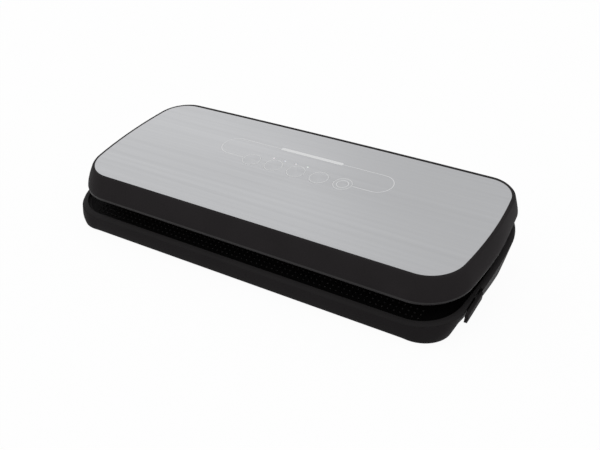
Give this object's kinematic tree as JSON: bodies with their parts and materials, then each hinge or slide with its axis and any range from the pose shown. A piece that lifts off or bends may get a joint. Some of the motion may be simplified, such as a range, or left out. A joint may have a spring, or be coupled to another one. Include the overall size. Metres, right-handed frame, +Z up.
{
  "type": "vacuum sealer",
  "caption": "Countertop vacuum sealer: wedge-shaped black base, hinged lid with brushed steel top and flush round keys, held ajar over the bag slot, side release tab.",
  "frame": {"origin": "centre of the footprint on the table, under the feet", "axes": "+X to the user's right along the long side, +Y to the hinge at the back, +Z up"},
  "size_m": [0.3844, 0.1723, 0.0699],
  "materials": {
    "black_plastic": "fine matte moulded texture",
    "deck_plastic": "matte moulded",
    "latch_plastic": "moulded acetal",
    "steel_plate": "brushed along the length",
    "key_steel": "brushed along the length, light ring at the edge",
    "foam": "closed-cell foam",
    "silicone": "satin silicone",
    "bar_insulator": "pressed phenolic board",
    "heating_alloy": "rolled strip",
    "ptfe": "coated glass cloth tape",
    "zinc_steel": "zinc plated",
    "motor_can": "drawn steel",
    "pump_plastic": "moulded",
    "soft_tube": "translucent silicone",
    "mount_rubber": "matte rubber",
    "circuit_board": "green solder mask",
    "component_black": "moulded components",
    "inlet_plastic": "moulded",
    "plunger_red": "moulded",
    "lamp_white": "frosted translucent"
  },
  "bodies": {
    "base": {"base_housing": "black_plastic", "base_deck": "deck_plastic", "trough_tub": "deck_plastic", "lower_gasket": "foam", "heater_bar": "bar_insulator", "heating_strip": "heating_alloy", "ptfe_tape": "ptfe", "hinge_pins": "zinc_steel", "base_screws": "zinc_steel", "latch_spring": "zinc_steel", "pump_bracket": "zinc_steel", "pump_motor": "motor_can", "pump_head": "pump_plastic", "release_valve": "pump_plastic", "trough_ports": "pump_plastic", "vacuum_hose": "soft_tube", "vent_hose": "soft_tube", "pump_mounts": "mount_rubber", "rubber_feet": "mount_rubber", "power_board": "circuit_board", "board_parts": "component_black", "lid_switch": "component_black", "mains_inlet": "inlet_plastic"},
    "lid": {"lid_shell": "black_plastic", "top_plate": "steel_plate", "lid_inner": "black_plastic", "upper_gasket": "foam", "seal_strip": "silicone", "lid_hooks": "latch_plastic", "lid_screws": "zinc_steel", "control_board": "circuit_board", "tact_switches": "component_black", "light_bar": "lamp_white", "indicator_lenses": "lamp_white"},
    "release": {"release_tab": "black_plastic", "latch_bar": "latch_plastic"},
    "pump_rotor": {"pump_crank": "zinc_steel"},
    "switch_button": {"switch_plunger": "plunger_red"},
    "key_1": {"control_key_1": "key_steel"},
    "key_2": {"control_key_2": "key_steel"},
    "key_3": {"control_key_3": "key_steel"},
    "key_4": {"control_key_4": "key_steel"},
    "key_5": {"control_key_5": "key_steel"}
  },
  "joints": [
    {"name": "lid_hinge", "type": "hinge", "parent": "base", "child": "lid", "pos_m": [0, 0.08152, 0.051], "axis": [-1, 0, 0], "range_deg": [-3.4, 65]},
    {"name": "release_slide", "type": "slide", "parent": "base", "child": "release", "axis": [-1, 0, 0], "range_m": [-0.0015, 0.0016], "stiffness_N_per_m": 300, "deforming": ["latch_spring"]},
    {"name": "pump_spin", "type": "hinge", "parent": "base", "child": "pump_rotor", "pos_m": [-0.07, 0.052, 0.021], "axis": [1, 0, 0], "continuous": true},
    {"name": "switch_press", "type": "slide", "parent": "base", "child": "switch_button", "axis": [0, 0.1942, -0.981], "range_m": [0, 0.0008], "stiffness_N_per_m": 150},
    {"name": "key_1_press", "type": "slide", "parent": "lid", "child": "key_1", "axis": [0, 0.1357, -0.9907], "range_m": [0, 0.0006], "stiffness_N_per_m": 600},
    {"name": "key_2_press", "type": "slide", "parent": "lid", "child": "key_2", "axis": [0, 0.1357, -0.9907], "range_m": [0, 0.0006], "stiffness_N_per_m": 600},
    {"name": "key_3_press", "type": "slide", "parent": "lid", "child": "key_3", "axis": [0, 0.1357, -0.9907], "range_m": [0, 0.0006], "stiffness_N_per_m": 600},
    {"name": "key_4_press", "type": "slide", "parent": "lid", "child": "key_4", "axis": [0, 0.1357, -0.9907], "range_m": [0, 0.0006], "stiffness_N_per_m": 600},
    {"name": "key_5_press", "type": "slide", "parent": "lid", "child": "key_5", "axis": [0, 0.1357, -0.9907], "range_m": [0, 0.0006], "stiffness_N_per_m": 600}
  ]
}
